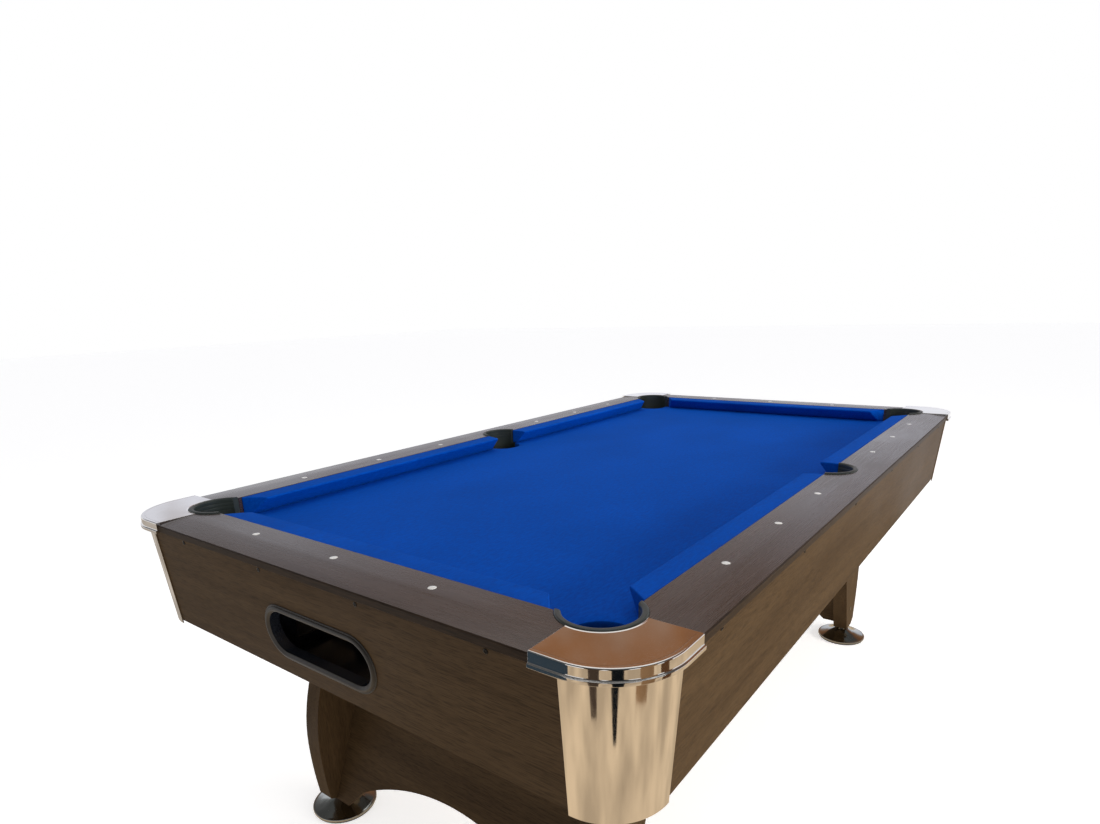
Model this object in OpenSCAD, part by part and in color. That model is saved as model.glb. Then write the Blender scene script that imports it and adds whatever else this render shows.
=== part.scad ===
// Home pool table with a ball-return box, splayed plank legs and screw levelling feet.
// The table stands on z = 0, its length runs along Y and the ball-return end is at -Y.

/* [Playing surface] */
// Width between the cushion noses
play_w = 930; // [900:5:980]
// Length between the cushion noses
play_l = 1860; // [1820:5:1980]
// Height of the cloth above the floor
bed_z = 778; // [760:1:790]
// Thickness of the bed board
bed_t = 20; // [16:1:24]
// Thickness of the cloth
cloth_t = 1; // [0.8:0.1:1.2]

/* [Rails] */
// Height of the rail top above the cloth
rail_h = 40; // [38:0.5:42]
// Width of a rail from the cushion nose to its outer edge
rail_w = 152.5; // [148:0.5:158]
// Width of the cloth-covered cushion
cushion_w = 46; // [42:1:48]
// Distance from the cushion nose to the sights
sight_d = 82; // [78:1:88]
// Radius of a sight disc
sight_r = 6.7; // [5:0.1:8]

/* [Pockets] */
// Outer radius of a pocket liner
liner_r = 63; // [60:0.5:66]
// Radius of the hole through a pocket liner
throat_r = 53; // [50:0.5:57]
// Distance from the nose lines to a corner pocket's centre
corner_off = 15; // [12:1:16]
// Distance from the nose line to a side pocket's centre
side_off = 38; // [36:1:40]
// Lower end of the liners
liner_z = 730; // [728:1:735]

/* [Cabinet] */
// Thickness of the apron boards
apron_t = 18; // [16:1:19]
// Lower edge of the aprons
apron_z = 590; // [580:1:596]
// Distance from the nose line to the apron's face under the rail
apron_top = 144.5; // [143:0.5:146]
// How far the apron leans in over its height
apron_lean = 15; // [10:1:18]
// Length of the ball-return window
window_l = 272; // [240:2:290]
// Height of the ball-return window
window_h = 80; // [70:1:84]
// Height of the window's centre
window_z = 677; // [674:1:680]

/* [Corner caps] */
// Distance from the rail corner to each end of a cap
cap_reach = 150; // [146:1:158]
// Corner radius of a cap
cap_r = 108; // [102:1:120]
// Corner radius of a skirt at its top
skirt_r = 106; // [102:1:114]

/* [Legs] */
// Distance from the centre line to a leg board's middle
leg_x = 395; // [380:1:400]
// Thickness of a leg board
leg_t = 46; // [40:1:48]
// Height of the leg boards' lower ends
leg_z = 44; // [42:1:50]
// Distance from the centre line to a leg board's inner heel
heel_y = 789; // [780:1:795]
// Thickness of an arch panel
panel_t = 25; // [18:1:28]
// Radius of the arch under a panel
arch_r = 600; // [560:10:640]
// Height of the arch's crown
arch_z = 166; // [150:1:180]

/* [Feet] */
// Radius of a foot disc
disc_r = 79; // [70:1:82]
// Height of a foot disc above its sole
disc_h = 31; // [28:1:34]
// Radius of the threaded stem
stem_r = 8; // [6:0.5:9]

/* [Hidden] */
$fn = 96;
half_w = play_w / 2;
half_l = play_l / 2;
rail_z = bed_z + rail_h;
wood_x = half_w + cushion_w;
wood_y = half_l + cushion_w;
out_x = half_w + rail_w;
out_y = half_l + rail_w;
lip_z = rail_z - 17;
rail_foot = 124;
rail_crease = 102;
board_top = bed_z - cloth_t;
board_z = board_top - bed_t;
corner_x = half_w + corner_off;
corner_y = half_l + corner_off;
side_x = half_w + side_off;
hole_r = liner_r + 0.4;
liner_top = rail_z + 3;
sight_pitch = play_w / 4;
apron_h = lip_z - apron_z;
lean_a = atan(apron_lean / apron_h);
apron_dy = apron_t / cos(lean_a);
front_y = half_l + apron_top;
flank_x = half_w + apron_top;
skirt_x = flank_x - skirt_r;
skirt_y = front_y - skirt_r;
apron_end_x = skirt_x + 6;
apron_end_y = skirt_y + 6;
skirt_top = rail_z - 8;
cap_top = rail_z + 1.5;
cap_proud = 3;
flare = 3;
cap_in_x = out_x - cap_reach;
cap_in_y = out_y - cap_reach;
bed_reach = 118;
bed_corner_r = 95;
corner_tip = 82;
corner_cut = 36;
side_tip = 66;
side_cut = 8;
beam_h = 50;
beam_z = board_z - beam_h;
beam_x = 300;
beam_w = 40;
cross_ys = [-630, -210, 210, 630];
cross_w = 30;
ledger_y = 1030;
ledger_l = 780;
gutter_in = 418;
gutter_out = 562;
gutter_t = 3;
gutter_rear = 1002;
gutter_front = -880;
gutter_wall = 34;
ramp_front = -1006;
ramp_wall_z = 672;
way_floor_z = 622;
way_top_z = 690;
box_x = 166;
box_t = 4;
box_z = 600;
box_top = 724;
box_back = -840;
mount_t = 24;
mount_ys = [575, 800];
leg_in = leg_x - leg_t / 2;
leg_out = leg_x + leg_t / 2;
heel_slope = 0.38;
panel_slope = 0.4;
panel_y = 851;
panel_z = leg_z + 4;
foot_y = 815;
insert_r = 11;
insert_h = 66;
sole_t = 5;
face_gap = 0.2;
screw_z = 790;
end_screw_xs = [130, 390];
side_screw_ys = [170, 507, 852];
bore_r = 2.1;
bolt_ys = [620, 735];
panel_screw_zs = [120, 330, 500];

// ---------- helpers ----------

// Puts its children, drawn for the rear right quarter, in the quarter with signs sx and sy.
module quarter(sx, sy) {
    mirror([sx < 0 ? 1 : 0, 0, 0]) mirror([0, sy < 0 ? 1 : 0, 0]) children();
}

// Repeats its children in all four quarters.
module all_quarters() {
    for (sx = [-1, 1], sy = [-1, 1]) quarter(sx, sy) children();
}

// Extrudes an outline drawn in (y, z) along X, from x0 to x1.
module along_x(x0, x1) {
    translate([x0, 0, 0]) rotate([90, 0, 90]) linear_extrude(x1 - x0) children();
}

// Extrudes an outline drawn in (x, z) along Y, from y0 to y1.
module along_y(y0, y1) {
    translate([0, y1, 0]) rotate([90, 0, 0]) linear_extrude(y1 - y0) children();
}

module slot_outline(l, h) {
    r = h / 2;
    for (s = [-1, 1]) translate([s * (l / 2 - r), 0]) circle(r);
    square([l - h, h], center = true);
}

module rounded_outline(x, y, r) {
    for (sx = [-1, 1], sy = [-1, 1]) translate([sx * (x - r), sy * (y - r)]) circle(r);
    square([2 * x, 2 * (y - r)], center = true);
    square([2 * (x - r), 2 * y], center = true);
}

// Where the apron's outer face stands inside its top line at height z.
function lean(z) = apron_lean * (lip_z - z) / apron_h;

// Section of an apron board whose outer face meets the rail at distance top.
module apron_section(top) {
    polygon([[top, lip_z], [top - apron_lean, apron_z],
        [top - apron_lean - apron_dy, apron_z], [top - apron_dy, lip_z]]);
}

// Places its children on the front apron's face at the window, with +Z pointing out.
module on_window() {
    translate([0, -(front_y - lean(window_z)), window_z]) rotate([90 + lean_a, 0, 0]) children();
}

// ---------- cabinet ----------

module laminate() {
    color([0.16, 0.10, 0.08]) children();
}

// Places its children at the screws of the rear apron, with +Z pointing out of its face.
module end_screw_places() {
    for (s = [-1, 1], x = end_screw_xs) translate([s * x, front_y, screw_z])
        rotate([-90 - lean_a, 0, 0]) children();
}

// Places its children at the screws of the right apron, with +Z pointing out of its face.
module side_screw_places() {
    for (s = [-1, 1], y = side_screw_ys) translate([flank_x, s * y, screw_z])
        rotate([0, 90 + lean_a, 0]) children();
}

module end_apron() {
    difference() {
        along_x(-apron_end_x, apron_end_x) apron_section(front_y);
        end_screw_places() cylinder(r = bore_r, h = 2 * apron_t, center = true);
    }
}

module front_apron() {
    laminate() difference() {
        mirror([0, 1, 0]) end_apron();
        on_window() translate([0, 0, -40]) linear_extrude(60) slot_outline(window_l + 9, window_h + 9);
    }
}

module rear_apron() {
    laminate() end_apron();
}

module right_apron() {
    laminate() difference() {
        along_y(-apron_end_y, apron_end_y) apron_section(flank_x);
        side_screw_places() cylinder(r = bore_r, h = 2 * apron_t, center = true);
    }
}

module left_apron() {
    mirror([1, 0, 0]) right_apron();
}

// Diagonal blocks that tie the aprons together under the bed's corners.
module corner_gussets() {
    inner_x = flank_x - lean(beam_z) - apron_dy;
    inner_y = front_y - lean(beam_z) - apron_dy;
    color([0.72, 0.58, 0.40]) all_quarters() translate([0, 0, beam_z]) linear_extrude(beam_h)
        polygon([[inner_x - 106, inner_y], [inner_x - 84, inner_y],
            [inner_x, inner_y - 84], [inner_x, inner_y - 106]]);
}

module long_beams() {
    color([0.72, 0.58, 0.40]) for (s = [-1, 1])
        translate([s * beam_x, 0, beam_z + beam_h / 2])
            cube([beam_w, 2 * ledger_y - 40, beam_h], center = true);
}

module cross_beams() {
    gap = beam_w / 2;
    reach = flank_x - lean(beam_z) - apron_dy;
    bay = reach - beam_x - gap;
    ledger_h = 30;
    color([0.72, 0.58, 0.40]) {
        for (y = cross_ys) {
            translate([0, y, beam_z + beam_h / 2])
                cube([2 * (beam_x - gap), cross_w, beam_h], center = true);
            for (s = [-1, 1]) translate([s * (beam_x + gap + bay / 2), y, beam_z + beam_h / 2])
                cube([bay, cross_w, beam_h], center = true);
        }
        for (s = [-1, 1]) translate([0, s * ledger_y, board_z - ledger_h / 2])
            cube([ledger_l, cross_w, ledger_h], center = true);
    }
}

module leg_mount() {
    reach = flank_x - apron_lean - apron_dy;
    difference() {
        translate([-reach, mount_ys[0], apron_z]) cube([2 * reach, mount_ys[1] - mount_ys[0], mount_t]);
        for (s = [-1, 1], y = bolt_ys) translate([s * leg_x, y, apron_z - 1]) cylinder(r = 5.25, h = 40);
    }
}

module front_leg_mount() {
    color([0.72, 0.58, 0.40]) mirror([0, 1, 0]) leg_mount();
}

module rear_leg_mount() {
    color([0.72, 0.58, 0.40]) leg_mount();
}

// Short screws under the rails that hold the aprons.
module apron_screws() {
    color([0.1, 0.1, 0.1]) for (s = [0, 1]) {
        mirror([0, s, 0]) end_screw_places() screw();
        mirror([s, 0, 0]) side_screw_places() screw();
    }
}

module screw() {
    translate([0, 0, -lean(screw_z) + 0.05]) cylinder(r = 4, h = 1.2);
    translate([0, 0, -14]) cylinder(r = 1.6, h = 14);
}

// ---------- bed ----------

module pocket_holes(z0, z1) {
    all_quarters() translate([corner_x, corner_y, z0]) cylinder(r = hole_r, h = z1 - z0);
    for (s = [-1, 1]) translate([s * side_x, 0, z0]) cylinder(r = hole_r, h = z1 - z0);
}

module bed_layer(z, t) {
    difference() {
        translate([0, 0, z]) linear_extrude(t)
            rounded_outline(half_w + bed_reach, half_l + bed_reach, bed_corner_r);
        pocket_holes(z - 1, z + t + 1);
    }
}

module bed_board() {
    color([0.72, 0.58, 0.40]) bed_layer(board_z, bed_t);
}

module bed_cloth() {
    color([0.02, 0.22, 0.62]) bed_layer(board_top, cloth_t);
}

// ---------- rails ----------

// Wood part of a rail, drawn from the nose line outwards at height z.
module rail_section(nose) {
    translate([nose, 0]) polygon([[cushion_w, bed_z], [cushion_w, rail_z], [rail_crease, rail_z],
        [rail_w - 2, rail_z - 4], [rail_w, rail_z - 6], [rail_w, lip_z],
        [rail_foot, lip_z], [rail_foot, bed_z]]);
}

module sight_pits() {
    translate([0, 0, rail_z - 2]) sight_places() cylinder(r = sight_r + 0.05, h = 4);
}

module sight_places() {
    for (s = [-1, 1], i = [-1:1]) translate([i * sight_pitch, s * (half_l + sight_d), 0]) children();
    for (s = [-1, 1], i = [-3:3]) if (i != 0)
        translate([s * (half_w + sight_d), i * sight_pitch, 0]) children();
}

module end_rail() {
    difference() {
        along_x(-cap_in_x, cap_in_x) rail_section(half_l);
        pocket_holes(bed_z - 1, rail_z + 1);
        sight_pits();
    }
}

module front_rail() {
    laminate() mirror([0, 1, 0]) end_rail();
}

module rear_rail() {
    laminate() end_rail();
}

module right_rail() {
    laminate() difference() {
        along_y(-cap_in_y, cap_in_y) rail_section(half_w);
        pocket_holes(bed_z - 1, rail_z + 1);
        sight_pits();
    }
}

module left_rail() {
    mirror([1, 0, 0]) right_rail();
}

module rail_sights() {
    color("white") translate([0, 0, rail_z - 2]) sight_places() cylinder(r = sight_r, h = 2.3);
}

// ---------- cushions ----------

// Section of a cushion, drawn from its nose line outwards.
module cushion_section(nose) {
    translate([nose, bed_z]) polygon([[0, 34.5], [0.7, 36.8], [2.6, 38], [cushion_w, rail_h - 0.5],
        [cushion_w, 0], [30, 0], [3, 31]]);
}

// End cushion, cut back at the corner pockets.
module end_cushion() {
    tip = half_w - corner_tip;
    heel = tip + corner_cut;
    color([0.02, 0.22, 0.62]) intersection() {
        along_x(-half_w, half_w) cushion_section(half_l);
        translate([0, half_l, bed_z - 1]) linear_extrude(rail_h + 2)
            polygon([[-tip, -1], [tip, -1], [heel, cushion_w + 1], [-heel, cushion_w + 1]]);
    }
}

// Half of a long cushion, between a side pocket and a corner pocket.
module side_cushion() {
    tip = half_l - corner_tip;
    color([0.02, 0.22, 0.62]) intersection() {
        along_y(0, half_l) cushion_section(half_w);
        translate([half_w, 0, bed_z - 1]) linear_extrude(rail_h + 2)
            polygon([[-1, side_tip], [-1, tip],
                [cushion_w + 1, tip + corner_cut], [cushion_w + 1, side_tip - side_cut]]);
    }
}

module front_cushion() {
    mirror([0, 1, 0]) end_cushion();
}

module rear_cushion() {
    end_cushion();
}

module left_front_cushion() {
    quarter(-1, -1) side_cushion();
}

module left_rear_cushion() {
    quarter(-1, 1) side_cushion();
}

module right_front_cushion() {
    quarter(1, -1) side_cushion();
}

module right_rear_cushion() {
    quarter(1, 1) side_cushion();
}

// ---------- pockets ----------

// Round liner with a rolled upper edge.
module liner_tube() {
    top = liner_top;
    rotate_extrude() polygon([[throat_r, liner_z], [liner_r, liner_z], [liner_r, top - 2],
        [liner_r - 0.6, top - 0.6], [liner_r - 2, top], [throat_r + 3, top],
        [throat_r + 0.8, top - 1], [throat_r, top - 4]]);
}

module corner_liner() {
    color([0.04, 0.04, 0.04]) difference() {
        translate([corner_x, corner_y, 0]) liner_tube();
        translate([corner_x - 100, corner_y - 100, board_top])
            cube([wood_x + 0.4 - corner_x + 100, wood_y + 0.4 - corner_y + 100, 80]);
    }
}

module side_liner() {
    color([0.04, 0.04, 0.04]) difference() {
        translate([side_x, 0, 0]) liner_tube();
        translate([side_x - 100, -100, board_top]) cube([wood_x + 0.4 - side_x + 100, 200, 80]);
    }
}

module liner_front_left() {
    quarter(-1, -1) corner_liner();
}

module liner_front_right() {
    quarter(1, -1) corner_liner();
}

module liner_rear_left() {
    quarter(-1, 1) corner_liner();
}

module liner_rear_right() {
    corner_liner();
}

module liner_left_side() {
    mirror([1, 0, 0]) side_liner();
}

module liner_right_side() {
    side_liner();
}

// Outline of a corner cap, moved in by the given distance.
module cap_outline(inset) {
    intersection() {
        rounded_outline(out_x + cap_proud - inset, out_y + cap_proud - inset, cap_r - inset);
        translate([cap_in_x + 0.3, cap_in_y + 0.3]) square(300);
    }
}

module cap_wall(z0, z1, inset, t) {
    translate([0, 0, z0]) linear_extrude(z1 - z0) difference() {
        cap_outline(inset);
        rounded_outline(out_x + cap_proud - inset - t, out_y + cap_proud - inset - t, cap_r - inset - t);
    }
}

// Corner casting: a top plate and a turned-down lip with a flared rim.
module corner_cap() {
    plate_t = 5;
    color([0.85, 0.83, 0.80]) difference() {
        union() {
            translate([0, 0, cap_top - plate_t]) linear_extrude(plate_t) cap_outline(0);
            cap_wall(lip_z - 1, cap_top - plate_t + 1, 0, 4);
            cap_wall(lip_z - 3, lip_z, -flare, flare + 4);
        }
        translate([corner_x, corner_y, lip_z]) cylinder(r = hole_r, h = 60);
    }
}

// Curved sheet that wraps the cabinet's corner below the cap.
module corner_skirt() {
    t = 2.5;
    low = apron_z - 6;
    function r_at(z) = skirt_r - lean(z) + 0.3;
    color([0.85, 0.83, 0.80]) translate([skirt_x, skirt_y, 0]) rotate_extrude(angle = 90)
        polygon([[r_at(low), low], [r_at(low) + t, low],
            [r_at(skirt_top) + t, skirt_top], [r_at(skirt_top), skirt_top]]);
}

module cap_front_left() {
    quarter(-1, -1) corner_cap();
}

module cap_front_right() {
    quarter(1, -1) corner_cap();
}

module cap_rear_left() {
    quarter(-1, 1) corner_cap();
}

module cap_rear_right() {
    corner_cap();
}

module skirt_front_left() {
    quarter(-1, -1) corner_skirt();
}

module skirt_front_right() {
    quarter(1, -1) corner_skirt();
}

module skirt_rear_left() {
    quarter(-1, 1) corner_skirt();
}

module skirt_rear_right() {
    corner_skirt();
}

// ---------- ball return ----------

// Sloping channel under the pockets of one long side.
module right_gutter() {
    front_z = 637;
    rear_z = 665;
    length = gutter_rear - gutter_front;
    module slope(z0, z1) {
        polygon([[gutter_front, front_z + z0], [gutter_rear, rear_z + z0],
            [gutter_rear, rear_z + z1], [gutter_front, front_z + z1]]);
    }
    color([0.12, 0.12, 0.12]) {
        along_x(gutter_in - gutter_t, gutter_out + gutter_t) slope(0, gutter_t);
        along_x(gutter_in - gutter_t, gutter_in) slope(0, gutter_t + gutter_wall);
        along_x(gutter_out, gutter_out + gutter_t) slope(0, gutter_t + gutter_wall);
        translate([gutter_in - gutter_t, gutter_rear - gutter_t, rear_z])
            cube([gutter_out - gutter_in + 2 * gutter_t, gutter_t, gutter_wall]);
    }
}

module left_gutter() {
    mirror([1, 0, 0]) right_gutter();
}

// Cross channel from the foot of a gutter to the ball box.
module right_ramp() {
    far_x = gutter_out + gutter_t;
    box_end_z = 619;
    far_z = 631;
    module floor_slope(top) {
        polygon([[box_x, box_end_z], [far_x, far_z], [far_x, top], [box_x, top]]);
    }
    color([0.12, 0.12, 0.12]) {
        along_y(ramp_front, gutter_front) polygon([[box_x, box_end_z], [far_x, far_z],
            [far_x, far_z + gutter_t], [box_x, box_end_z + gutter_t]]);
        along_y(ramp_front, ramp_front + gutter_t) floor_slope(ramp_wall_z);
        along_y(gutter_front - gutter_t, gutter_front) intersection() {
            floor_slope(ramp_wall_z);
            translate([0, 600]) square([gutter_in - gutter_t - 0.5, 100]);
        }
        translate([far_x - gutter_t, ramp_front, far_z])
            cube([gutter_t, gutter_front - ramp_front, ramp_wall_z - far_z]);
    }
}

module left_ramp() {
    mirror([1, 0, 0]) right_ramp();
}

// Collection box behind the window, open at the top, at the window and towards both ramps.
module ball_box() {
    gap = 1;
    module side_outline(z0) {
        inner = front_y - apron_dy - gap;
        polygon([[-(inner - lean(z0)), z0], [box_back, z0], [box_back, box_top],
            [-(inner - lean(box_top)), box_top]]);
    }
    color([0.03, 0.03, 0.035]) difference() {
        along_x(-box_x, box_x) side_outline(box_z);
        along_x(-box_x + box_t, box_x - box_t) translate([-1200, box_z + box_t])
            square([1200 + box_back - box_t, 200]);
        translate([-300, ramp_front + gutter_t, way_floor_z])
            cube([600, gutter_front - ramp_front - 2 * gutter_t, way_top_z - way_floor_z]);
    }
}

// Trim ring: a flange on the apron's face and a sleeve through the apron.
module window_trim() {
    color([0.10, 0.08, 0.07]) on_window() difference() {
        union() {
            translate([0, 0, 0.05]) linear_extrude(4) slot_outline(window_l + 28, window_h + 28);
            translate([0, 0, -apron_t]) linear_extrude(apron_t + 1) slot_outline(window_l + 8, window_h + 8);
        }
        translate([0, 0, -apron_t - 1]) linear_extrude(apron_t + 8) slot_outline(window_l, window_h);
    }
}

// ---------- legs ----------

// Curve of the leg board's outer edge.
function leg_edge(z) = 876 - pow(z - 205, 2) / (z > 205 ? 900 : 2160);

// Side view of a leg board: a straight inner edge that leans in, and a bellied outer edge.
module leg_outline() {
    bend_z = 355;
    top_y = leg_edge(bend_z) - (apron_z - bend_z) / 3;
    polygon(concat([[heel_y, leg_z], [heel_y + 53, leg_z]],
        [for (i = [0:12]) let (z = 58 + i * (bend_z - 58) / 12) [leg_edge(z), z]],
        [[top_y, apron_z], [heel_y - heel_slope * (apron_z - leg_z), apron_z]]));
}

// Where the arch panel's middle stands at height z.
function panel_mid(z) = panel_y - panel_slope * (z - panel_z) - panel_t / 2 / cos(atan(panel_slope));

module panel_screw_holes(r) {
    for (z = panel_screw_zs) translate([leg_x, panel_mid(z), z]) rotate([0, 90, 0])
        cylinder(r = r, h = 120, center = true);
}

module leg_board() {
    laminate() difference() {
        along_x(leg_in, leg_out) leg_outline();
        translate([leg_x, foot_y, leg_z - 1]) cylinder(r = insert_r, h = insert_h + 3);
        for (y = bolt_ys) translate([leg_x, y, apron_z - 60]) cylinder(r = 5.25, h = 70);
        panel_screw_holes(3.75);
    }
}

module leg_front_left() {
    quarter(-1, -1) leg_board();
}

module leg_front_right() {
    quarter(1, -1) leg_board();
}

module leg_rear_left() {
    quarter(-1, 1) leg_board();
}

module leg_rear_right() {
    leg_board();
}

// Front view of an arch panel, from its flat foot up over the arch.
module arch_outline() {
    half = leg_in - 0.2;
    foot_x = 325;
    arc_x = 285;
    a = asin(arc_x / arch_r);
    polygon(concat([[-half, apron_z], [-half, panel_z], [-foot_x, panel_z]],
        [for (i = [-12:12]) let (t = i * a / 12) [arch_r * sin(t), arch_z - arch_r * (1 - cos(t))]],
        [[foot_x, panel_z], [half, panel_z], [half, apron_z]]));
}

module arch_panel() {
    run = panel_slope * (apron_z - panel_z);
    dy = panel_t / cos(atan(panel_slope));
    laminate() difference() {
        intersection() {
            along_y(500, 900) arch_outline();
            along_x(-leg_x, leg_x) polygon([[panel_y, panel_z], [panel_y - run, apron_z],
                [panel_y - run - dy, apron_z], [panel_y - dy, panel_z]]);
        }
        for (s = [0, 1]) mirror([s, 0, 0]) panel_screw_holes(3.75);
    }
}

module front_arch_panel() {
    mirror([0, 1, 0]) arch_panel();
}

module rear_arch_panel() {
    arch_panel();
}

// Bolts down through the mounting boards, and screws through the leg boards into the panels.
module leg_bolts() {
    color([0.6, 0.6, 0.62]) all_quarters() {
        for (y = bolt_ys) translate([leg_x, y, 0]) {
            translate([0, 0, apron_z + mount_t]) cylinder(r = 9, h = 6.5);
            translate([0, 0, apron_z - 55]) cylinder(r = 5, h = 60 + mount_t);
        }
        for (z = panel_screw_zs) translate([leg_x - 54, panel_mid(z), z]) rotate([0, 90, 0])
            cylinder(r = 3.5, h = leg_t / 2 + 54 - 1);
    }
}

// Discs that cover the panel screws on the legs' outer faces.
module cover_caps() {
    color([0.08, 0.06, 0.05]) all_quarters() for (z = panel_screw_zs)
        translate([leg_out + 0.05, panel_mid(z), z]) rotate([0, 90, 0]) cylinder(r = 7.5, h = 1.4);
}

// ---------- levelling feet ----------

module foot_inserts() {
    color([0.75, 0.62, 0.35]) all_quarters() translate([leg_x, foot_y, leg_z]) difference() {
        cylinder(r = insert_r - 0.02, h = insert_h);
        translate([0, 0, -1]) cylinder(r = stem_r + 0.06, h = insert_h + 2);
    }
}

// Domed disc and threaded stem, turned by hand.
module foot_disc() {
    z0 = sole_t + face_gap;
    hub_z = z0 + disc_h;
    pin_r = 10.06;
    color([0.85, 0.83, 0.80]) translate([leg_x, foot_y, 0]) rotate_extrude()
        polygon([[pin_r, z0], [disc_r - 2, z0], [disc_r, z0 + 1.5], [disc_r, z0 + 4.5],
            [disc_r - 2, z0 + 7], [52, z0 + 17], [32, z0 + 25], [24, z0 + 29.5], [21, hub_z],
            [stem_r, hub_z], [stem_r, 102.5], [stem_r - 1.5, 104], [0, 104], [0, 12], [pin_r, 12]]);
}

// Rubber sole with a centre pin that the disc turns on.
module foot_sole() {
    color([0.06, 0.06, 0.06]) translate([leg_x, foot_y, 0]) {
        cylinder(r = disc_r - 3, h = sole_t);
        cylinder(r = 10, h = 11);
    }
}

module disc_front_left() {
    quarter(-1, -1) foot_disc();
}

module disc_front_right() {
    quarter(1, -1) foot_disc();
}

module disc_rear_left() {
    quarter(-1, 1) foot_disc();
}

module disc_rear_right() {
    foot_disc();
}

module sole_front_left() {
    quarter(-1, -1) foot_sole();
}

module sole_front_right() {
    quarter(1, -1) foot_sole();
}

module sole_rear_left() {
    quarter(-1, 1) foot_sole();
}

module sole_rear_right() {
    foot_sole();
}

front_apron();
rear_apron();
left_apron();
right_apron();
corner_gussets();
bed_board();
bed_cloth();
long_beams();
cross_beams();
front_leg_mount();
rear_leg_mount();
front_rail();
rear_rail();
left_rail();
right_rail();
front_cushion();
rear_cushion();
left_front_cushion();
left_rear_cushion();
right_front_cushion();
right_rear_cushion();
rail_sights();
liner_front_left();
liner_front_right();
liner_rear_left();
liner_rear_right();
liner_left_side();
liner_right_side();
cap_front_left();
cap_front_right();
cap_rear_left();
cap_rear_right();
skirt_front_left();
skirt_front_right();
skirt_rear_left();
skirt_rear_right();
left_gutter();
right_gutter();
left_ramp();
right_ramp();
ball_box();
window_trim();
leg_front_left();
leg_front_right();
leg_rear_left();
leg_rear_right();
front_arch_panel();
rear_arch_panel();
foot_inserts();
leg_bolts();
cover_caps();
apron_screws();
disc_front_left();
disc_front_right();
disc_rear_left();
disc_rear_right();
sole_front_left();
sole_front_right();
sole_rear_left();
sole_rear_right();
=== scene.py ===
"""Looks of a home pool table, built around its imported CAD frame. Metres, +Z up, length along Y."""

import math
import bmesh
import bpy
from mathutils import Matrix, Vector
from mathutils.geometry import delaunay_2d_cdt


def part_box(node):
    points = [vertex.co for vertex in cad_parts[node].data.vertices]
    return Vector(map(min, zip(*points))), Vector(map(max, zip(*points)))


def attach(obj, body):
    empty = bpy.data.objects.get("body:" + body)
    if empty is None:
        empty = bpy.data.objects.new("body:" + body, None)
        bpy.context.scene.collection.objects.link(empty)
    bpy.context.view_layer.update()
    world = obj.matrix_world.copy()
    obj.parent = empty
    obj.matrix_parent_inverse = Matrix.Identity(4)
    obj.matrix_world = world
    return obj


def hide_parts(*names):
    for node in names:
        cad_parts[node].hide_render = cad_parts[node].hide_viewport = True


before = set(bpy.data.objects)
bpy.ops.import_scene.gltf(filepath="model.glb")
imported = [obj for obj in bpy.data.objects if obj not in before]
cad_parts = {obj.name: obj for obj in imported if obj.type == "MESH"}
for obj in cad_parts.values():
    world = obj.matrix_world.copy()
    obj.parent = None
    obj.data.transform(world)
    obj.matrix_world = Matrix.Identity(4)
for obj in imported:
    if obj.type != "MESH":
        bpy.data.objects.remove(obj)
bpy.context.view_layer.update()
MM = 0.001
SIDES = {"left": -1, "right": 1}
ENDS = {"front": -1, "rear": 1}
CORNERS = {f"{end}_{side}": (SIDES[side], ENDS[end]) for end in ENDS for side in SIDES}

# Main lines of the table, read from the frame.
NOSE_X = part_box("right_rear_cushion")[0].x
NOSE_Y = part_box("rear_cushion")[0].y
BED_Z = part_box("bed_cloth")[1].z
WOOD_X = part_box("right_rear_cushion")[1].x
WOOD_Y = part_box("rear_cushion")[1].y
RAIL_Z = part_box("right_rail")[1].z


def new_object(name, data):
    """An object in the scene."""
    item = bpy.data.objects.new(name, data)
    bpy.context.scene.collection.objects.link(item)
    return item


def mesh_object(name, mesh):
    """An object in the scene with a bmesh's shape. The bmesh is freed."""
    data = bpy.data.meshes.new(name)
    mesh.to_mesh(data)
    mesh.free()
    return new_object(name, data)


# ---------- camera ----------

CAMERA_PLACE = (0.9231, -1.6268, 1.2004)
CAMERA_RIGHT = (0.79938, 0.59995, -0.03238)
CAMERA_UP = (-0.16459, 0.27049, 0.94855)
CAMERA_BACK = (0.57784, -0.75292, 0.31497)


def make_camera():
    data = bpy.data.cameras.new("camera")
    data.sensor_width = 36
    data.lens = 22.18
    data.shift_y = 0.1078
    camera = new_object("camera", data)
    turn = Matrix((CAMERA_RIGHT, CAMERA_UP, CAMERA_BACK)).transposed()
    camera.matrix_world = Matrix.Translation(CAMERA_PLACE) @ turn.to_4x4()
    bpy.context.scene.camera = camera


# ---------- material helpers ----------

def new_material(name):
    """A node material: returns the material, its tree and its shader."""
    material = bpy.data.materials.new(name)
    material.use_nodes = True
    tree = material.node_tree
    shader = next(n for n in tree.nodes if n.type == "BSDF_PRINCIPLED")
    return material, tree, shader


def give(socket, value):
    """Gives a socket a value, or links it to another node's output."""
    if isinstance(value, bpy.types.NodeSocket):
        socket.id_data.links.new(value, socket)
    else:
        socket.default_value = value


def plug(node, name, value):
    give(node.inputs[name], value)


def add_node(tree, kind, inputs, **settings):
    """Adds a node. An input is a value, or another node's output to link."""
    node = tree.nodes.new(kind)
    for name, value in settings.items():
        setattr(node, name, value)
    for name, value in inputs.items():
        plug(node, name, value)
    return node


def object_coords(tree, scale):
    place = tree.nodes.new("ShaderNodeTexCoord").outputs["Object"]
    return add_node(tree, "ShaderNodeMapping", {"Vector": place, "Scale": scale}).outputs["Vector"]


def noise(tree, vector, scale, detail=3.0, roughness=0.5, distortion=0.0):
    inputs = {"Vector": vector, "Scale": scale, "Detail": detail,
              "Roughness": roughness, "Distortion": distortion}
    return add_node(tree, "ShaderNodeTexNoise", inputs).outputs["Fac"]


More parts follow.
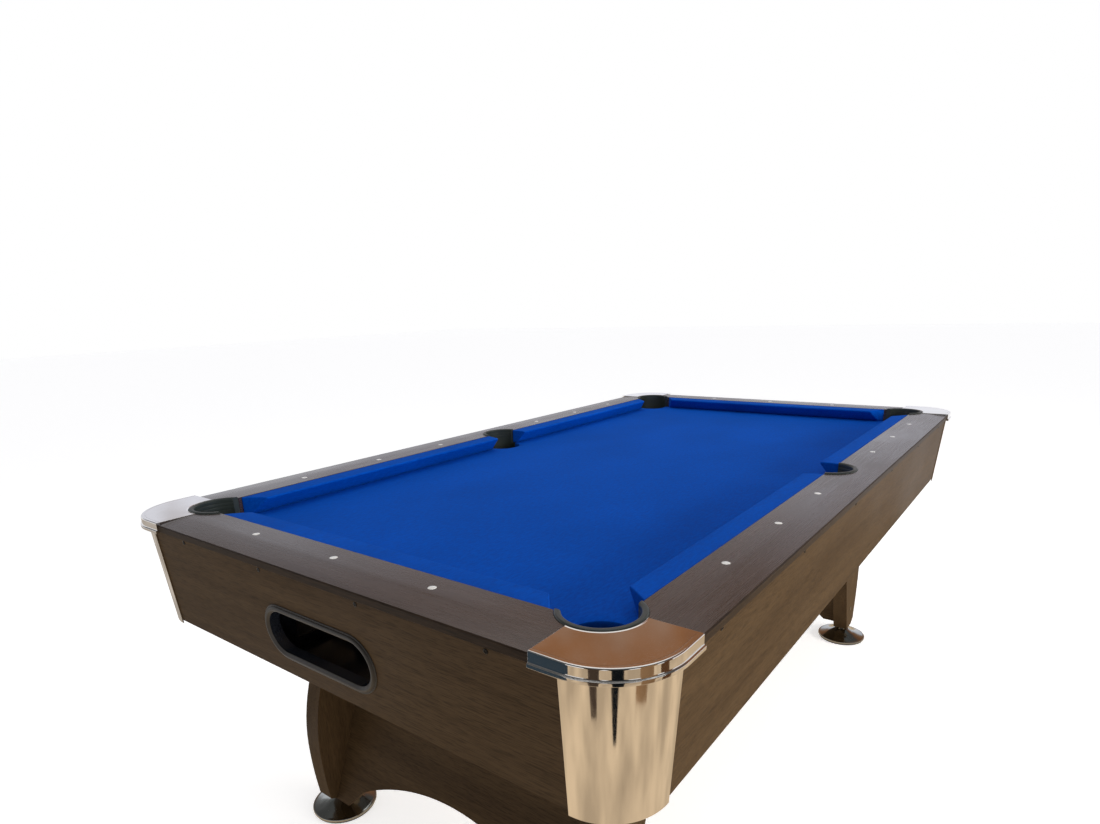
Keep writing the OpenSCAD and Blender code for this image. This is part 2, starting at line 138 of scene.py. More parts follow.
def pattern(tree, scale, *settings):
    """Noise that stays with the object, with a scale for each axis."""
    return noise(tree, object_coords(tree, scale), 1.0, *settings)


def remap(tree, value, low, high, start=0.3, end=0.7):
    """Maps a value between start and end to between low and high."""
    inputs = {"Value": value, "From Min": start, "From Max": end, "To Min": low, "To Max": high}
    return add_node(tree, "ShaderNodeMapRange", inputs).outputs["Result"]


def ramp(tree, fac, stops):
    """Colour ramp with stops (position, (r, g, b))."""
    node = add_node(tree, "ShaderNodeValToRGB", {"Fac": fac})
    elements = node.color_ramp.elements
    while len(elements) < len(stops):
        elements.new(0.5)
    for element, (position, color) in zip(elements, stops):
        element.position = position
        element.color = (*color, 1)
    return node.outputs["Color"]


def two_tone(tree, fac, dark, light):
    return ramp(tree, fac, [(0.3, dark), (0.7, light)])


def calculate(tree, operation, a, b):
    node = tree.nodes.new("ShaderNodeMath")
    node.operation = operation
    for socket, value in zip(node.inputs, (a, b)):
        give(socket, value)
    return node.outputs["Value"]


def weigh(tree, first, first_share, second, second_share):
    """Weighted sum of two patterns."""
    return calculate(tree, "ADD", calculate(tree, "MULTIPLY", first, first_share),
                     calculate(tree, "MULTIPLY", second, second_share))


def mix_color(tree, factor, first, second, **settings):
    node = add_node(tree, "ShaderNodeMix", {}, data_type="RGBA", **settings)
    plug(node, "Factor", factor)
    colors = [s for s in node.inputs if s.type == "RGBA"]
    for socket, value in zip(colors, (first, second)):
        give(socket, value)
    return next(s for s in node.outputs if s.type == "RGBA")


def tint(tree, color, shade):
    """A colour multiplied by a grey value."""
    return mix_color(tree, 1, color, shade, blend_type="MULTIPLY")


def bump(tree, shader, height, distance, strength=1.0):
    inputs = {"Height": height, "Distance": distance, "Strength": strength}
    plug(shader, "Normal", add_node(tree, "ShaderNodeBump", inputs).outputs["Normal"])


# ---------- materials ----------

def along(axis, lengthwise, across):
    """Texture scale that stretches a pattern along one axis."""
    scale = [across] * 3
    scale[axis] = lengthwise
    return scale


def laminate(name, axis, dark, light, rough, specular):
    """Wood-grain laminate with its grain along an axis."""
    material, tree, shader = new_material(name)
    figure = pattern(tree, along(axis, 1.6, 26), 4, 0.55, 0.8)
    fine = pattern(tree, along(axis, 9, 420), 3, 0.6)
    pores = pattern(tree, along(axis, 38, 900), 2, 0.5)
    grain = weigh(tree, figure, 0.6, fine, 0.4)
    middle = [(a + b) / 2 for a, b in zip(dark, light)]
    color = ramp(tree, grain, [(0.24, dark), (0.5, middle), (0.76, light)])
    shade = remap(tree, pores, 0.62, 1.04, 0.36, 0.52)
    plug(shader, "Base Color", tint(tree, color, shade))
    smudge = pattern(tree, (3, 3, 3), 4, 0.6)
    polish = calculate(tree, "ADD", remap(tree, smudge, rough, rough + 0.08), remap(tree, fine, 0.0, 0.06))
    plug(shader, "Roughness", polish)
    plug(shader, "Specular IOR Level", specular)
    bump(tree, shader, calculate(tree, "ADD", fine, pores), 0.15 * MM, 0.22)
    return material


def edge_band():
    """Dark banding on the outer edges of the rails."""
    material, tree, shader = new_material("edge_band")
    streaks = pattern(tree, (30, 30, 700), 3, 0.6)
    color = ramp(tree, streaks, [(0.35, (0.016, 0.010, 0.006)), (0.65, (0.036, 0.022, 0.013))])
    plug(shader, "Base Color", color)
    plug(shader, "Roughness", remap(tree, streaks, 0.45, 0.55))
    plug(shader, "Specular IOR Level", 0.1)
    bump(tree, shader, streaks, 0.1 * MM, 0.4)
    return material


def raw_board():
    """Unfinished chipboard and softwood inside the cabinet."""
    material, tree, shader = new_material("raw_board")
    chips = add_node(tree, "ShaderNodeTexVoronoi", {"Vector": object_coords(tree, (160, 160, 220))})
    fibres = pattern(tree, (90, 90, 90), 5, 0.65)
    both = weigh(tree, chips.outputs["Distance"], 0.5, fibres, 0.7)
    stops = [(0.3, (0.19, 0.12, 0.065)), (0.55, (0.31, 0.21, 0.12)), (0.8, (0.40, 0.29, 0.18))]
    plug(shader, "Base Color", ramp(tree, both, stops))
    plug(shader, "Roughness", remap(tree, fibres, 0.7, 0.9))
    bump(tree, shader, both, 0.5 * MM, 0.5)
    return material


def cloth():
    """Napped woollen cloth in royal blue."""
    material, tree, shader = new_material("blue_cloth")
    weave = pattern(tree, (1500, 900, 1500), 2, 0.6)
    nap = pattern(tree, (220, 70, 220), 4, 0.6)
    clouds = pattern(tree, (5, 3, 5), 3, 0.5)
    mixed = weigh(tree, weave, 0.45, nap, 0.55)
    deep = (0.0, 0.042, 0.30)
    bright = (0.001, 0.088, 0.52)
    color = two_tone(tree, mixed, deep, bright)
    plug(shader, "Base Color", tint(tree, color, remap(tree, clouds, 0.9, 1.08)))
    plug(shader, "Roughness", remap(tree, nap, 0.82, 0.95))
    plug(shader, "Specular IOR Level", 0.06)
    plug(shader, "Sheen Weight", 0.1)
    plug(shader, "Sheen Roughness", 0.4)
    plug(shader, "Sheen Tint", (0.02, 0.25, 1.0, 1))
    bump(tree, shader, mixed, 0.35 * MM, 0.6)
    return material


def chrome(name, color, roughness):
    """Plated metal with faint polishing marks and finger marks."""
    material, tree, shader = new_material(name)
    plug(shader, "Metallic", 1.0)
    waves = pattern(tree, (14, 14, 9), 2, 0.5)
    marks = pattern(tree, (240, 240, 60), 4, 0.6)
    dim = [c * 0.95 for c in color]
    bright = [min(1, c * 1.05) for c in color]
    plug(shader, "Base Color", two_tone(tree, waves, dim, bright))
    plug(shader, "Roughness", remap(tree, marks, roughness, roughness + 0.05))
    bump(tree, shader, waves, 1.2 * MM, 0.08)
    return material


def plain_metal(name, dark, light, metallic, low, high):
    """Machined or coated metal of the small hardware."""
    material, tree, shader = new_material(name)
    plug(shader, "Metallic", metallic)
    grain = pattern(tree, (700, 700, 2200), 3, 0.6)
    stains = pattern(tree, (90, 90, 90), 3, 0.6)
    plug(shader, "Base Color", two_tone(tree, stains, dark, light))
    plug(shader, "Roughness", remap(tree, grain, low, high))
    bump(tree, shader, grain, 0.05 * MM, 0.5)
    return material


def moulded(name, dark, light, low, high, grain_scale, depth):
    """Moulded plastic or rubber with a fine surface grain."""
    material, tree, shader = new_material(name)
    grain = pattern(tree, [grain_scale] * 3, 2, 0.5)
    haze = pattern(tree, (11, 11, 11), 4, 0.6)
    plug(shader, "Base Color", two_tone(tree, haze, dark, light))
    rough = calculate(tree, "ADD", remap(tree, haze, low, high), remap(tree, grain, -0.03, 0.03))
    plug(shader, "Roughness", rough)
    bump(tree, shader, grain, depth * MM, 0.5)
    return material


def make_materials():
    brown = (0.036, 0.0195, 0.0082)
    tan = (0.082, 0.049, 0.022)
    umber = (0.024, 0.0145, 0.0115)
    cocoa = (0.060, 0.038, 0.029)
    boards = {}
    for axis, letter in enumerate("xyz"):
        name = f"laminate_{letter}"
        boards[name] = laminate(name, axis, brown, tan, 0.45, 0.07)
    return {
        **boards,
        "rail_x": laminate("rail_laminate_x", 0, umber, cocoa, 0.2, 0.7),
        "rail_y": laminate("rail_laminate_y", 1, umber, cocoa, 0.2, 0.7),
        "edge_band": edge_band(),
        "raw_board": raw_board(),
        "cloth": cloth(),
        "sight": moulded("white_plastic", (0.80, 0.79, 0.75), (0.88, 0.87, 0.84), 0.16, 0.24, 500, 0.02),
        "liner": moulded("liner_rubber", (0.015, 0.020, 0.018), (0.030, 0.039, 0.035), 0.36, 0.5, 1500, 0.1),
        "chrome": chrome("cap_chrome", (0.74, 0.72, 0.69), 0.04),
        "skirt": chrome("skirt_chrome", (0.80, 0.77, 0.72), 0.055),
        "disc": chrome("disc_chrome", (0.40, 0.41, 0.39), 0.1),
        "channel": moulded("channel_plastic", (0.03, 0.03, 0.03), (0.05, 0.05, 0.05), 0.5, 0.65, 900, 0.1),
        "box": moulded("box_plastic", (0.008, 0.009, 0.012), (0.013, 0.015, 0.02), 0.14, 0.24, 700, 0.02),
        "trim": moulded("trim_plastic", (0.014, 0.011, 0.008), (0.028, 0.023, 0.017), 0.42, 0.5, 900, 0.04),
        "insert": plain_metal("insert_brass", (0.50, 0.34, 0.13), (0.66, 0.48, 0.21), 1.0, 0.28, 0.4),
        "bolt": plain_metal("bolt_zinc", (0.46, 0.47, 0.50), (0.62, 0.62, 0.60), 1.0, 0.3, 0.42),
        "cover": moulded("cover_plastic", (0.03, 0.02, 0.015), (0.05, 0.035, 0.026), 0.3, 0.4, 900, 0.04),
        "screw": plain_metal("screw_black", (0.012, 0.011, 0.010), (0.03, 0.028, 0.026), 0.8, 0.3, 0.45),
        "sole": moulded("sole_rubber", (0.012, 0.012, 0.012), (0.022, 0.022, 0.022), 0.6, 0.75, 1100, 0.15),
    }


MATERIALS = make_materials()


# ---------- mesh helpers ----------

def make_piece(name, mesh, material, slot, body, *nodes):
    """Turns a bmesh into a smooth-shaded piece that rides on a body and stands for CAD nodes."""
    bmesh.ops.recalc_face_normals(mesh, faces=mesh.faces)
    piece = mesh_object(name, mesh)
    piece.data.materials.append(MATERIALS[material])
    piece.data.shade_smooth()
    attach(piece, body)
    if nodes:
        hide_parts(*nodes)
    return piece


def weigh_normals(piece):
    normals = piece.modifiers.new("normals", "WEIGHTED_NORMAL")
    normals.keep_sharp = True


def round_edges(piece, width, segments=3, angle=30):
    """Rounds a piece's sharp edges, and keeps its flat faces flat."""
    bevel = piece.modifiers.new("bevel", "BEVEL")
    bevel.width = width
    bevel.segments = segments
    bevel.limit_method = "ANGLE"
    bevel.angle_limit = math.radians(angle)
    weigh_normals(piece)


def node_mesh(node):
    """A CAD node's shape with its split vertices joined and its flat faces whole."""
    mesh = bmesh.new()
    mesh.from_mesh(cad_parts[node].data)
    bmesh.ops.remove_doubles(mesh, verts=mesh.verts, dist=0.004 * MM)
    bmesh.ops.dissolve_limit(mesh, angle_limit=math.radians(0.3), verts=mesh.verts, edges=mesh.edges)
    return mesh


def node_piece(node, name, material, slot, width, segments=3):
    """A piece with a CAD node's shape and rounded edges."""
    piece = make_piece(name, node_mesh(node), material, slot, "table", node)
    round_edges(piece, width, segments)
    return piece


def node_islands(node):
    """The separate solids of a CAD node, each as a list of its vertices' places."""
    mesh = node_mesh(node)
    left = set(mesh.verts)
    islands = []
    while left:
        stack = [left.pop()]
        island = []
        while stack:
            vertex = stack.pop()
            island.append(vertex.co.copy())
            near = [e.other_vert(vertex) for e in vertex.link_edges]
            fresh = [v for v in near if v in left]
            left.difference_update(fresh)
            stack.extend(fresh)
        islands.append(island)
    mesh.free()
    return islands


def middle_of(points):
    return sum(points, Vector()) / len(points)


def box_of(points):
    """Lowest and highest corners of the box around some points."""
    low = Vector([min(p[i] for p in points) for i in range(3)])
    high = Vector([max(p[i] for p in points) for i in range(3)])
    return low, high


def middle_of_box(box):
    return (box[0] + box[1]) / 2


def full_turn(steps):
    return [2 * math.pi * i / steps for i in range(steps)]


def quarter_turn(steps):
    return [math.radians(90 * i / steps) for i in range(steps + 1)]


def turn_section(section, center, angles):
    """A section of (radius, height) points at each angle round an upright axis."""
    return [[Vector((center.x + r * math.cos(a), center.y + r * math.sin(a), z)) for r, z in section]
            for a in angles]


def add_loft(mesh, rings, closed_rings=True, closed_loft=False):
    """Joins rows of points with quads and returns the rows of new vertices."""
    rows = [[mesh.verts.new(p) for p in ring] for ring in rings]
    count = len(rows[0])
    pairs = list(zip(rows, rows[1:] + rows[:1])) if closed_loft else list(zip(rows, rows[1:]))
    for row, following in pairs:
        for i in range(count if closed_rings else count - 1):
            j = (i + 1) % count
            mesh.faces.new((row[i], row[j], following[j], following[i]))
    return rows


def skin_rows(mesh, rows, steps):
    """Joins closed rows of vertices with faces. A row of one vertex closes an end."""
    for row, following in zip(rows, rows[1:]):
        for i in range(steps):
            j = (i + 1) % steps
            corners = [row[i % len(row)], row[j % len(row)],
                       following[j % len(following)], following[i % len(following)]]
            mesh.faces.new(list(dict.fromkeys(corners)))


def add_lathe(mesh, profile, place, steps):
    """Turns a profile of (radius, height) points about the Z axis of a placing matrix.
    A radius may be a function of the angle. A radius of 0 closes an end."""
    rows = []
    for radius, height in profile:
        if radius == 0:
            rows.append([mesh.verts.new(place @ Vector((0, 0, height)))])
            continue
        row = []
        for a in full_turn(steps):
            r = radius(a) if callable(radius) else radius
            row.append(mesh.verts.new(place @ Vector((r * math.cos(a), r * math.sin(a), height))))
        rows.append(row)
    skin_rows(mesh, rows, steps)


def fillet(center, radius, start, end, steps=5):
    """Points of an arc in a profile, from one angle to another in degrees."""
    angles = [math.radians(start + (end - start) * i / steps) for i in range(steps + 1)]
    return [(center[0] + radius * math.cos(a), center[1] + radius * math.sin(a)) for a in angles]


def facing(direction, place):
    """Placing matrix with its Z axis along a direction."""
    turn = Vector(direction).to_track_quat("Z", "Y").to_matrix().to_4x4()
    return Matrix.Translation(place) @ turn


def upright(x, y, z=0.0):
    return Matrix.Translation((x, y, z))


# ---------- cabinet ----------

def make_aprons():
    for end in ENDS:
        node_piece(f"{end}_apron", f"{end}_apron_board", "laminate_x", "laminate", 0.9 * MM)
    for side in SIDES:
        node_piece(f"{side}_apron", f"{side}_apron_board", "laminate_y", "laminate", 0.9 * MM)


def make_hidden_boards():
    nodes = ("corner_gussets", "long_beams", "cross_beams", "front_leg_mount", "rear_leg_mount")
    for node in nodes:
        node_piece(node, f"{node}_wood", "raw_board", "raw_board", 1.2 * MM, 2)
    node_piece("bed_board", "bed_panel", "raw_board", "raw_board", 1.5 * MM, 2)


def apron_normal(name):
    """Direction that an apron's outer face looks in."""
    mesh = node_mesh(name)
    middle = middle_of([v.co for v in mesh.verts])
    outward = [f for f in mesh.faces if f.normal.dot(Vector((middle.x, middle.y, 0))) > 0]
    normal = max(outward, key=lambda f: f.calc_area()).normal.copy()
    mesh.free()
    return normal


RECESS_DEPTH = 0.9 * MM
SCREW_HEAD = 1.2 * MM


def cross_recess(x, y, radius):
    """Depth of a cross-shaped drive recess at a point of a screw head."""
    arm = 0.16 * radius
    reach = 0.58 * radius
    inside = min(abs(x), abs(y)) < arm and max(abs(x), abs(y)) < reach
    return RECESS_DEPTH if inside else 0.0


def add_screw_head(mesh, place, radius, height):
    """Domed screw head with a cross recess, as a fine disc with a turned rim."""
    rings = 14
    steps = 48
    rows = [[mesh.verts.new(place @ Vector((0, 0, height - RECESS_DEPTH)))]]
    for k in range(1, rings + 1):
        r = radius * k / rings
        row = []
        for a in full_turn(steps):
            x, y = r * math.cos(a), r * math.sin(a)
            z = height - 0.45 * height * (k / rings) ** 4 - cross_recess(x, y, radius)
            row.append(mesh.verts.new(place @ Vector((x, y, z))))
        rows.append(row)
    rim = turn_section([(radius, -0.2 * MM)], Vector((0, 0)), full_turn(steps))
    rows.append([mesh.verts.new(place @ point) for (point,) in rim])
    skin_rows(mesh, rows, steps)


def make_apron_screws():
    """Screw heads and shanks at the places of the CAD screws."""
    normals = {name: apron_normal(f"{name}_apron") for name in (*SIDES, *ENDS)}
    mesh = bmesh.new()
    for points in node_islands("apron_screws"):
        middle = middle_of(points)
        on_end = abs(middle.y) > NOSE_Y + 0.08
        group, value = (ENDS, middle.y) if on_end else (SIDES, middle.x)
        name = next(n for n, s in group.items() if s * value > 0)
        normal = normals[name]
        reach = [p.dot(normal) for p in points]
        axis_point = middle_of_box(box_of(points))
        offsets = [p - axis_point for p in points]
        radius = min(4 * MM, max((d - normal * d.dot(normal)).length for d in offsets))
        top = axis_point + normal * (max(reach) - axis_point.dot(normal))
        place = facing(normal, top - normal * SCREW_HEAD)
        add_screw_head(mesh, place, radius, SCREW_HEAD)
        shank = [(1.6 * MM, 0.2 * MM), (1.6 * MM, -12 * MM), (0.6 * MM, -14 * MM), (0, -14 * MM)]
        add_lathe(mesh, shank, place, 16)
    make_piece("apron_screw_heads", mesh, "screw", "screw", "table", "apron_screws")


# ---------- bed ----------

LINER_OUTER = (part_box("liner_right_side")[1].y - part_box("liner_right_side")[0].y) / 2
LINER_INNER = LINER_OUTER - 10 * MM
POCKET_HOLE = LINER_OUTER + 0.8 * MM
CLOTH_EDGE = LINER_INNER - 0.6 * MM
CLOTH_ROLL = 5 * MM
CLOTH_DROP = 34 * MM
CLOTH_GRID = 24 * MM
CLOTH_CORNER = 95 * MM
CORNER_MOUTH = 72
SIDE_MOUTH = 86


def pocket_places():
    """Every pocket's name, centre, and the directions (degrees) between which its cloth turns down."""
    places = {}
    for name, (sx, sy) in CORNERS.items():
        middle = middle_of_box(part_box(f"liner_{name}"))
        inward = math.degrees(math.atan2(-sy, -sx))
        places[name] = (middle.x, middle.y, inward - CORNER_MOUTH, inward + CORNER_MOUTH)
    for name, sx in SIDES.items():
        middle = middle_of_box(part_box(f"liner_{name}_side"))
        inward = 180 if sx > 0 else 0
        places[f"{name}_side"] = (middle.x, middle.y, inward - SIDE_MOUTH, inward + SIDE_MOUTH)
    return places


def hole_outline(x, y, start, end):
    """Edge of the cloth round a pocket: close to the throat where it turns down, wide elsewhere."""
    steps = 96
    points = []
    for i in range(steps):
        angle = start + 360 * i / steps
        inside = angle <= end + 0.01
        radius = CLOTH_EDGE if inside else POCKET_HOLE
        a = math.radians(angle)
        points.append((Vector((x + radius * math.cos(a), y + radius * math.sin(a))), inside))
    return points


def cloth_outline():
    """Outer edge of the bed cloth, under the rails."""
    low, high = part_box("bed_cloth")
    points = []
    for sx, sy, start in ((1, 1, 0), (-1, 1, 90), (-1, -1, 180), (1, -1, 270)):
        cx = (high.x if sx > 0 else low.x) - sx * CLOTH_CORNER
        cy = (high.y if sy > 0 else low.y) - sy * CLOTH_CORNER
        points += [Vector(p) for p in fillet((cx, cy), CLOTH_CORNER, start, start + 90, 10)]
    return points


def make_bed_cloth():
    """One stretched sheet over the bed, turned down into the six pockets."""
    points = []
    edges = []
    holes = []

    def add_loop(loop):
        first = len(points)
        points.extend(loop)
        edges.extend((first + i, first + (i + 1) % len(loop)) for i in range(len(loop)))

    add_loop(cloth_outline())
    for x, y, start, end in pocket_places().values():
        outline = hole_outline(x, y, start, end)
        add_loop([p for p, _ in outline])
        holes.append((Vector((x, y)), outline))
    low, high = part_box("bed_cloth")
    columns = int((high.x - low.x) / CLOTH_GRID)
    rows = int((high.y - low.y) / CLOTH_GRID)
    for i in range(1, columns):
        for j in range(1, rows):
            p = Vector((low.x + (high.x - low.x) * i / columns, low.y + (high.y - low.y) * j / rows))
            if all((p - c).length > POCKET_HOLE + 3 * MM for c, _ in holes):
                points.append(p)
    coords, _, faces, _, _, _ = delaunay_2d_cdt(points, edges, [], 1, 1e-7)
    mesh = bmesh.new()
    top = [mesh.verts.new((p.x, p.y, BED_Z)) for p in coords]
    for face in faces:
        middle = sum((coords[i] for i in face), Vector((0, 0))) / len(face)
        if inside_cloth(middle, holes):
            mesh.faces.new([top[i] for i in face])
    for center, outline in holes:
        turn_down(mesh, center, outline)
    bmesh.ops.remove_doubles(mesh, verts=mesh.verts, dist=0.01 * MM)
    loose = [v for v in mesh.verts if not v.link_faces]
    bmesh.ops.delete(mesh, geom=loose, context="VERTS")
    area = sum(f.calc_area() for f in mesh.faces)
    piece = make_piece("bed_cloth_sheet", mesh, "cloth", "cloth", "table", "bed_cloth")
    thickness = piece.modifiers.new("thickness", "SOLIDIFY")
    thickness.thickness = 0.7 * MM
    thickness.offset = -1


def inside_cloth(point, holes):
    """Whether a point of the flat cloth is outside every pocket and inside the rounded corners."""
    for center, outline in holes:
        offset = point - center
        if offset.length > POCKET_HOLE:
            continue
        nearest = min(outline, key=lambda item: (item[0] - point).length)
        if offset.length < (nearest[0] - center).length - 0.05 * MM:
            return False
    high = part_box("bed_cloth")[1]
    dx = abs(point.x) - (high.x - CLOTH_CORNER)
    dy = abs(point.y) - (high.y - CLOTH_CORNER)
    return not (dx > 0 and dy > 0 and math.hypot(dx, dy) > CLOTH_CORNER)


def turn_down(mesh, center, outline):
    """Rolls the cloth over the bed's edge and down into a pocket."""
    drop = [p for p, inside in outline if inside]
    rows = [(math.sin(a) * CLOTH_ROLL * 0.25, (math.cos(a) - 1) * CLOTH_ROLL) for a in quarter_turn(6)]
    rows.append((rows[-1][0], -CLOTH_ROLL - CLOTH_DROP))
    rings = []
    for inset, height in rows:
        ring = []
        for p in drop:
            inward = (center - p).normalized()
            spot = p + inward * inset
            ring.append(Vector((spot.x, spot.y, BED_Z + height)))
        rings.append(ring)
    add_loft(mesh, rings, closed_rings=False)


# ---------- rails and cushions ----------

def make_rails():
    for end in ENDS:
        piece = node_piece(f"{end}_rail", f"{end}_rail_board", "rail_x", "laminate", 1.0 * MM)
        band_outer_edge(piece, 1)
    for side in SIDES:
        piece = node_piece(f"{side}_rail", f"{side}_rail_board", "rail_y", "laminate", 1.0 * MM)
        band_outer_edge(piece, 0)


def band_outer_edge(piece, axis):
    """Dark banding on a rail's outer face and its lower arris."""
    piece.data.materials.append(MATERIALS["edge_band"])
    outer = max(abs(v.co[axis]) for v in piece.data.vertices)
    for face in piece.data.polygons:
        near = abs(abs(face.center[axis]) - outer) < 1.5 * MM
        if near and abs(face.normal[axis]) > 0.6:
            face.material_index = 1


def make_sights():
    """Inlaid discs with a low dome and a softened rim."""
    mesh = bmesh.new()
    for points in node_islands("rail_sights"):
        middle = middle_of_box(box_of(points))
        radius = max((Vector((p.x, p.y, 0)) - Vector((middle.x, middle.y, 0))).length for p in points)
        low = min(p.z for p in points) - RAIL_Z
        profile = [(0, low), (radius, low), (radius, -0.05 * MM), (radius - 0.15 * MM, 0.1 * MM),
                   (radius - 0.5 * MM, 0.2 * MM), (radius * 0.6, 0.33 * MM), (radius * 0.3, 0.38 * MM),
                   (0, 0.4 * MM)]
        add_lathe(mesh, profile, upright(middle.x, middle.y, RAIL_Z), 40)
    make_piece("rail_sight_discs", mesh, "sight", "sight", "table", "rail_sights")


NOSE_RADIUS = 3.3 * MM
CUSHION_ROUND = 2.4 * MM
CORNER_CUT = 36 * MM
SIDE_CUT = -8 * MM
SIDE_TIP = 66 * MM
CORNER_TIP = 82 * MM


def cushion_section():
    """Section of a cushion: (distance from the nose, height above the bed) points, anticlockwise."""
    width = WOOD_Y - NOSE_Y
    nose_z = 34.6 * MM
    back_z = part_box("rear_cushion")[1].z - BED_Z
    heel = 30 * MM
    points = [(heel, 0.2 * MM), (width - 0.2 * MM, 0.2 * MM), (width - 0.2 * MM, back_z - 1.6 * MM)]
    points.append((width - 0.9 * MM, back_z - 0.7 * MM))
    for k in range(10):
        t = k / 9
        x = width - 2 * MM - t * (width - 2 * MM - NOSE_RADIUS)
        crown = 0.35 * MM * math.sin(math.pi * t)
        z = back_z - 0.1 * MM + t * (nose_z + NOSE_RADIUS - back_z + 0.1 * MM) + crown
        points.append((x, z))
    points += fillet((NOSE_RADIUS, nose_z), NOSE_RADIUS, 100, 221, 8)
    points += [(9 * MM, 23.5 * MM), (16 * MM, 15.6 * MM), (23 * MM, 7.6 * MM)]
    return points


def inset_section(points, amount):
    """A closed section moved inwards by an amount."""
    moved = []
    count = len(points)
    for i in range(count):
        before = Vector(points[i - 1])
        here = Vector(points[i])
        after = Vector(points[(i + 1) % count])
        a = (here - before).normalized()
        b = (after - here).normalized()
        normal_a = Vector((-a.y, a.x))
        normal_b = Vector((-b.y, b.x))
        middle = (normal_a + normal_b).normalized()
        scale = 1 / max(0.5, middle.dot(normal_a))
        moved.append(here + middle * amount * scale)
    return moved


def make_cushion(node, start, end, place):
    """Cloth-covered cushion between two slanting ends.
    start and end are (nose, back) distances along the rail; place maps (depth, along, height) to a point."""
    mesh = bmesh.new()
    section = cushion_section()
    width = WOOD_Y - NOSE_Y
    rings = []

    def ring(share, offset, inset):
        points = []
        for depth, height in inset_section(section, inset):
            t = depth / width
            first = start[0] + (start[1] - start[0]) * t
            last = end[0] + (end[1] - end[0]) * t
            along_rail = first + (last - first) * share + offset
            points.append(place(depth, along_rail, height))
        rings.append(points)

    for a in quarter_turn(5):
        ring(0, CUSHION_ROUND * (1 - math.cos(a)), CUSHION_ROUND * (1 - math.sin(a)))
    for k in range(1, 16):
        ring(k / 16, 0, 0)
    for a in reversed(quarter_turn(5)):
        ring(1, -CUSHION_ROUND * (1 - math.cos(a)), CUSHION_ROUND * (1 - math.sin(a)))
    rows = add_loft(mesh, rings)
    mesh.faces.new(rows[0][::-1])
    mesh.faces.new(rows[-1])
    piece = make_piece(f"{node}_pad", mesh, "cloth", "cloth", "table", node)
    weigh_normals(piece)


def make_cushions():
    tip_x = NOSE_X - CORNER_TIP
    tip_y = NOSE_Y - CORNER_TIP
    for end, sy in ENDS.items():
        def place(depth, along_rail, height, sy=sy):
            return Vector((along_rail, sy * (NOSE_Y + depth), BED_Z + height))
        ends = ((-tip_x, -tip_x - CORNER_CUT), (tip_x, tip_x + CORNER_CUT))
        make_cushion(f"{end}_cushion", *ends, place)
    for side, sx in SIDES.items():
        for end, sy in ENDS.items():
            def place(depth, along_rail, height, sx=sx, sy=sy):
                return Vector((sx * (NOSE_X + depth), sy * along_rail, BED_Z + height))
            ends = ((SIDE_TIP, SIDE_TIP + SIDE_CUT), (tip_y, tip_y + CORNER_CUT))
            make_cushion(f"{side}_{end}_cushion", *ends, place)


# ---------- pockets ----------

def liner_profile(low, high):
    """Closed section of a liner: straight wall with ribs inside and a rolled upper edge."""
    rim = 3.4 * MM
    points = [(LINER_INNER, low), (LINER_OUTER, low), (LINER_OUTER, high - rim)]
    points += fillet((LINER_OUTER - rim, high - rim), rim, 0, 90, 6)
    points += fillet((LINER_INNER + rim, high - rim), rim, 90, 180, 6)
    for k in range(3):
        z = high - 9 * MM - k * 8 * MM
        points += [(LINER_INNER, z), (LINER_INNER + 0.8 * MM, z - 1 * MM), (LINER_INNER, z - 2 * MM)]
    return points


def cut_box(piece, low, high):
    """Cuts a box out of a piece."""
    mesh = bmesh.new()
    bmesh.ops.create_cube(mesh, size=1)
    size = Vector(high) - Vector(low)
    middle = (Vector(high) + Vector(low)) / 2
    fit = Matrix.Translation(middle) @ Matrix.Diagonal((*size, 1))
    bmesh.ops.transform(mesh, matrix=fit, verts=mesh.verts)
    cutter = mesh_object("cutter", mesh)
    cut = piece.modifiers.new("cut", "BOOLEAN")
    cut.operation = "DIFFERENCE"
    cut.solver = "EXACT"
    cut.object = cutter
    bpy.context.view_layer.update()
    evaluated = piece.evaluated_get(bpy.context.evaluated_depsgraph_get())
    result = bpy.data.meshes.new_from_object(evaluated)
    piece.modifiers.clear()
    piece.data = result
    bpy.data.objects.remove(cutter)


def make_liner(node, sx, sy):
    """Round throat with a rim. Above the bed it is cut away inside the rails, where balls come in."""
    low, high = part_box(node)
    middle = (low + high) / 2
    mesh = bmesh.new()
    rings = turn_section(liner_profile(low.z, high.z), middle, full_turn(128))
    add_loft(mesh, rings, closed_loft=True)
    piece = make_piece(f"pocket_{node}", mesh, "liner", "liner", "table", node)
    gap = 0.4 * MM
    reach = 0.1
    xs = sorted((sx * (WOOD_X + gap), middle.x - sx * reach))
    ys = sorted((sy * (WOOD_Y + gap), middle.y - sy * reach)) if sy else (-reach, reach)
    board_top = BED_Z - 1 * MM
    cut_box(piece, (xs[0], ys[0], board_top), (xs[1], ys[1], high.z + 0.02))
    round_edges(piece, 0.9 * MM, 3, 50)


def make_liners():
    for name, (sx, sy) in CORNERS.items():
        make_liner(f"liner_{name}", sx, sy)
    for name, sx in SIDES.items():
        make_liner(f"liner_{name}_side", sx, 0)


# ---------- corner caps and skirts ----------

CAP_RADIUS = 108 * MM
CAP_FLARE = 3 * MM
CAP_RIM = 2.2 * MM
CAP_BAND = 8 * MM
CAP_PLATE = 5 * MM


